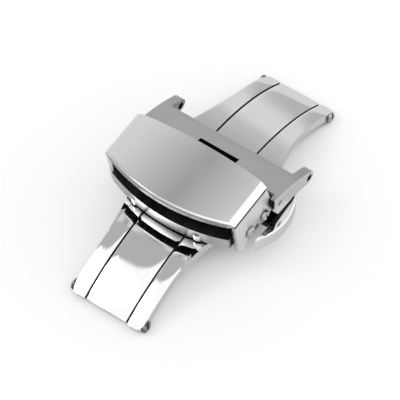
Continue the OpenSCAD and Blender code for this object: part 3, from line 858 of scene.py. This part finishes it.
def make_tray():
    """The tray of the head, on which the strap lies."""
    bm = base_mesh("tray")
    round_edges(bm, TRAY_EDGE)
    # The tray's top, under the cover, gets near-black painted shade
    paint(bm, PAINTED_SHADE, is_tray_top)
    piece("tray_steel", bm, [tray_steel, shaded], "satin_steel", "head", "tray")


# Edges of the lugs: fillets at their roots, whose angle is in radians, then the outer rims and the rest
LUG_FILLET = 0.6
LUG_FILLET_Y = 4
LUG_ROOT_ANGLE = -1
LUG_RIM = 0.15
LUG_RIM_X = 10.3
LUG_RIM_ANGLE = 50
LUG_EDGE = 0.09

# Inner limits of the lugs' undersides and front faces
LUG_IN = 9
FRONT_IN = 9.75

# The hole for the spring bar
BAR_Y = 7.04
BAR_Z = TOP - 0.16
BAR_R = 0.5

# The window in the plate's front, and the front and back limits of that front face
WINDOW_X = 0.1
WINDOW_HALF = 2.9
WINDOW_BACK = 2.55
NOTCH_FRONT = 0.3
NOTCH_BACK = 0.6

# Numbers of the lugs' materials after that of their top
LUG_SHADE = 1
LUG_LIT_SIDE = 2
LUG_LIT_NOTCH = 3
LUG_SHADED_BELOW = 4


def is_lug_root(edge):
    """True for the upright inner edges between the plate and its lugs."""
    inner = len(edge.link_faces) == 2 and edge.calc_face_angle_signed(0) < LUG_ROOT_ANGLE
    return inner and abs(along(edge).z) > NEARLY and middle(edge).y > LUG_FILLET_Y


def is_lug_rim(edge):
    """True for the sharp edges of the lugs' outer sides."""
    return is_convex(edge, LUG_RIM_ANGLE) and abs(middle(edge).x) > LUG_RIM_X


def is_bar_hole(c, n):
    """True for the walls of the holes for the spring bar."""
    return math.hypot(c.y - BAR_Y, c.z - BAR_Z) < BAR_R + FACE_NEAR and abs(n.x) < HARDLY


def is_window(c, n):
    """True for the walls of the window in the plate's front."""
    inside = abs(c.x - WINDOW_X) < WINDOW_HALF + WALL_NEAR and c.y < WINDOW_BACK + WALL_NEAR
    return inside and n.z < MOSTLY


def is_notch(c, n):
    """True for the plate's front face beside the cover."""
    return n.y < -MOSTLY and NOTCH_FRONT < c.y < NOTCH_BACK


def is_lug_front(c, n):
    """True for the front faces of the lugs, which face the cover's side walls."""
    return n.y < -MOSTLY and abs(c.x) > FRONT_IN and c.y < NOTCH_FRONT


def is_below(c, n):
    """True for the undersides of the lugs."""
    return n.z < -NEARLY and abs(c.x) > LUG_IN


def is_outer_side(c, n):
    """True for the sides that face away from the middle."""
    return n.x > MOSTLY and c.x > 0 or n.x < -MOSTLY and c.x < 0


def make_lugs():
    """The lug plate and both lugs, which are one bent and machined piece on the real clasp."""
    bm = base_mesh("lug_plate", "right_lug", "left_lug")
    round_edges(bm, LUG_FILLET, is_lug_root, WIDE_STEPS)
    round_edges(bm, LUG_RIM, is_lug_rim)
    round_edges(bm, LUG_EDGE)
    paint(bm, LUG_SHADE, is_bar_hole)
    paint(bm, LUG_SHADE, is_window)
    # The plate's front face beside the cover is painted light
    paint(bm, LUG_LIT_NOTCH, is_notch)
    paint(bm, LUG_SHADE, is_lug_front)
    # The lugs' undersides get near-black painted shade
    paint(bm, LUG_SHADED_BELOW, is_below)
    # The lugs' outer sides get painted light: a lighter tone than the rest of the lugs
    paint(bm, LUG_LIT_SIDE, is_outer_side)
    materials = [lug_steel, shaded, lug_side, lit_notch_steel, painted_dark]
    piece("lugs_steel", bm, materials, "satin_steel", "lugs", "lug_plate", "right_lug", "left_lug")


# Pins: length and dome of the head, radius and inner end of the shaft, and the driver slot
SIDE_PIN = dict(head=0.5, shaft=0.32, dome=0.3, inner=7.95)
SIDE_SLOT = dict(slot_wide=0.3, slot_deep=0.15, slot_angle=math.radians(20))
HINGE_PIN = dict(head=0.4, shaft=0.35, dome=0.22, inner=0.0, slot_wide=0.25, slot_deep=0.2)
LUG_PIN = dict(head=0.1, shaft=0.4, dome=0.06, inner=0.0)

# Edges of the small pieces
SPRING_EDGE = 0.02
SCREW_EDGE = 0.03
PLATE_EDGE = 0.04
PAD_EDGE = 0.05
PEG_EDGE = 0.06
BUTTON_EDGE = 0.06

# The pieces
make_frame()
make_arm("front_arm")
make_arm("rear_arm")
make_cover()
make_tray()
make_lugs()
make_pins("cover_pivots", turned, **SIDE_PIN, **SIDE_SLOT)
make_pins("snap_studs", turned, **SIDE_PIN)
make_pins("front_hinge_pin", old_steel, **HINGE_PIN)
make_pins("rear_hinge_pin", turned, **HINGE_PIN)
make_pins("lug_pin", old_steel, **LUG_PIN)
rounded("bottom_plate", satin, "satin_steel", PLATE_EDGE)
rounded("bottom_screws", turned, "pin_steel", SCREW_EDGE)
rounded("head_pin", turned, "pin_steel", SCREW_EDGE)
rounded("strap_peg", turned, "pin_steel", PEG_EDGE)
rounded("rest_pads", polished, "pin_steel", PAD_EDGE)
for side in ("right", "left"):
    rounded(side + "_button", polished, "polished_steel", BUTTON_EDGE)
# The sliders are coloured near-black all over: painted shade inside the head
for side in ("right", "left"):
    rounded(side + "_slider", shaded, "satin_steel", PLATE_EDGE)
for side in ("right", "left"):
    rounded(side + "_oval_pin", old_steel, "pin_steel", PLATE_EDGE)
for side in ("right", "left"):
    rounded(side + "_springs", spring, "spring_steel", SPRING_EDGE)

# Floor: a little under the clasp, with painted shadow that darkens it and dims its camera glow where the
# clasp closes it in, and a glow for the camera and one for mirrors
FLOOR_SIZE = 1.5
FLOOR_DROP = 0.00002
FLOOR_REACH = 0.008
FLOOR_SAMPLES = 16
FLOOR_TONE = 0.7
SHADED_TONE = 0.12
TONE_SPAN = (0.05, 0.4)
FLOOR_GLOW = 0.3
GLOW_SPAN = (0.1, 0.45)
MIRRORED_GLOW = 0.05


def make_floor():
    """The white paper that the clasp stands on."""
    bm = bmesh.new()
    bmesh.ops.create_grid(bm, x_segments=1, y_segments=1, size=FLOOR_SIZE)
    mesh = bpy.data.meshes.new("floor")
    bm.to_mesh(mesh)
    bm.free()
    floor = bpy.data.objects.new("floor", mesh)
    floor.location.z = -FLOOR_DROP
    bpy.context.scene.collection.objects.link(floor)
    mat = bpy.data.materials.new("floor_paper")
    t = Tree(mat)
    open_sky = t.openness(FLOOR_REACH, FLOOR_SAMPLES)
    # Painted shadow: the paper is coloured darker where the clasp closes it in
    tone = t.span(open_sky, *TONE_SPAN, SHADED_TONE, FLOOR_TONE, smooth=True)
    paper = t.add("ShaderNodeBsdfDiffuse", {"Color": tone})
    path = t.add("ShaderNodeLightPath").outputs
    mirrored = t.math("MAXIMUM", path["Is Glossy Ray"], path["Is Transmission Ray"])
    # Painted shadow: the camera's glow fades where the clasp closes the paper in
    open_glow = t.span(open_sky, *GLOW_SPAN, 0.0, FLOOR_GLOW, smooth=True)
    seen = t.math("MULTIPLY", path["Is Camera Ray"], open_glow)
    strength = t.math("ADD", seen, t.math("MULTIPLY", mirrored, MIRRORED_GLOW))
    glow = t.add("ShaderNodeEmission", {"Strength": strength})
    both = t.add("ShaderNodeAddShader", {0: paper.outputs[0], 1: glow.outputs[0]})
    t.add("ShaderNodeOutputMaterial", {"Surface": both.outputs[0]})
    mesh.materials.append(mat)


# The studio by direction: x to the right, y to the rear and z up, each from -1 to 1, with levels of light
WALL = [(0.0, 0.5), (0.58, 0.5), (0.7, 0.58), (0.8, 0.77), (0.87, 0.77), (0.95, 0.52)]
GAP_X = 0.35
GAP_HALF = 0.08
GAP_LEVEL = 0.39
LAMP_LEVEL = 0.74
GAP_FRONT = (0.12, 0.2)
GAP_BACK = (0.42, 0.36)
LEFT_SPAN = (-0.5, -0.65)
LEFT_LEVEL = 0.7
FRONT_SHIFT = 0.15
FRONT_LEAST = -0.2
FRONT_SPAN = (0.02, -0.03)
RIGHT_SPAN = (-0.05, 0.35)
WHITE_LEVEL = 1.15
LOW_LEVEL = 0.66
LOW_SPAN = (0.3, 0.55)
SIDE_SPAN = (-0.25, 0.0)


def make_world():
    """A soft studio, as the mirror-bright steel shows it; the camera sees plain white behind the object."""
    world = bpy.data.worlds.new("studio")
    bpy.context.scene.world = world
    t = Tree(world)
    way = t.add("ShaderNodeTexCoord").outputs["Generated"]
    x, y, z = t.add("ShaderNodeSeparateXYZ", {"Vector": way}).outputs
    # a grey wall behind, lighter in its middle
    level = t.ramp(y, WALL)
    # a dim gap between the lamps overhead
    off = t.math("ABSOLUTE", t.math("DIVIDE", t.math("ADD", x, GAP_X), GAP_HALF))
    gap = t.span(t.math("MINIMUM", off, 1.0), 0.0, 1.0, GAP_LEVEL, LAMP_LEVEL)
    here = t.math("MULTIPLY", t.span(y, *GAP_FRONT, smooth=True), t.span(y, *GAP_BACK, smooth=True))
    level = t.mix_levels(here, level, gap)
    # a soft grey wall on the left
    level = t.mix_levels(t.span(x, *LEFT_SPAN, smooth=True), level, LEFT_LEVEL)
    # white in front, dimmer towards the horizon
    border = t.math("MAXIMUM", t.math("ADD", x, FRONT_SHIFT), FRONT_LEAST)
    front = t.span(t.math("SUBTRACT", y, border), *FRONT_SPAN, smooth=True)
    front_white = t.span(z, *LOW_SPAN, LOW_LEVEL, WHITE_LEVEL, smooth=True)
    level = t.mix_levels(front, level, front_white)
    # white on the right, down to the horizon behind the middle
    right = t.span(x, *RIGHT_SPAN, smooth=True)
    side_white = t.span(y, *SIDE_SPAN, 0.0, WHITE_LEVEL, smooth=True)
    level = t.mix_levels(right, level, t.math("MAXIMUM", front_white, side_white))
    lamp = t.add("ShaderNodeBackground", {"Color": level, "Strength": 1.0})
    plain = t.add("ShaderNodeBackground", {"Color": (1, 1, 1, 1), "Strength": 1.0})
    seen = t.add("ShaderNodeLightPath").outputs["Is Camera Ray"]
    mix = t.add("ShaderNodeMixShader", {0: seen, 1: lamp.outputs[0], 2: plain.outputs[0]})
    t.add("ShaderNodeOutputWorld", {"Surface": mix.outputs[0]})


# The lamp and the camera, in metres and watts, but the lens and its sensor in millimetres
KEY_PLACE = (-0.25, -0.25, 0.45)
KEY_TARGET = (0, 0, 0)
KEY_SIZE = (0.2, 0.2)
KEY_WATTS = 0.35
CAMERA_PLACE = (0.08645, -0.12128, 0.20094)
CAMERA_TARGET = (-0.002116, 0.001433, -0.002695)
LENS = 180
SENSOR = 36
NEAREST = 0.01
FARTHEST = 10


def aim(obj, target):
    """Turns a lamp or a camera towards a place."""
    obj.rotation_euler = (Vector(target) - obj.location).to_track_quat("-Z", "Y").to_euler()


make_floor()
make_world()

key_data = bpy.data.lights.new("key", "AREA")
key_data.shape = "RECTANGLE"
key_data.size, key_data.size_y = KEY_SIZE
key_data.energy = KEY_WATTS
key = bpy.data.objects.new("key", key_data)
key.location = KEY_PLACE
aim(key, KEY_TARGET)
bpy.context.scene.collection.objects.link(key)

view = bpy.context.scene.view_settings
view.view_transform = "Standard"

camera_data = bpy.data.cameras.new("camera")
camera_data.lens = LENS
camera_data.sensor_width = SENSOR
camera_data.clip_start = NEAREST
camera_data.clip_end = FARTHEST
camera = bpy.data.objects.new("camera", camera_data)
camera.location = CAMERA_PLACE
aim(camera, CAMERA_TARGET)
bpy.context.scene.collection.objects.link(camera)
bpy.context.scene.camera = camera

bpy.context.view_layer.update()
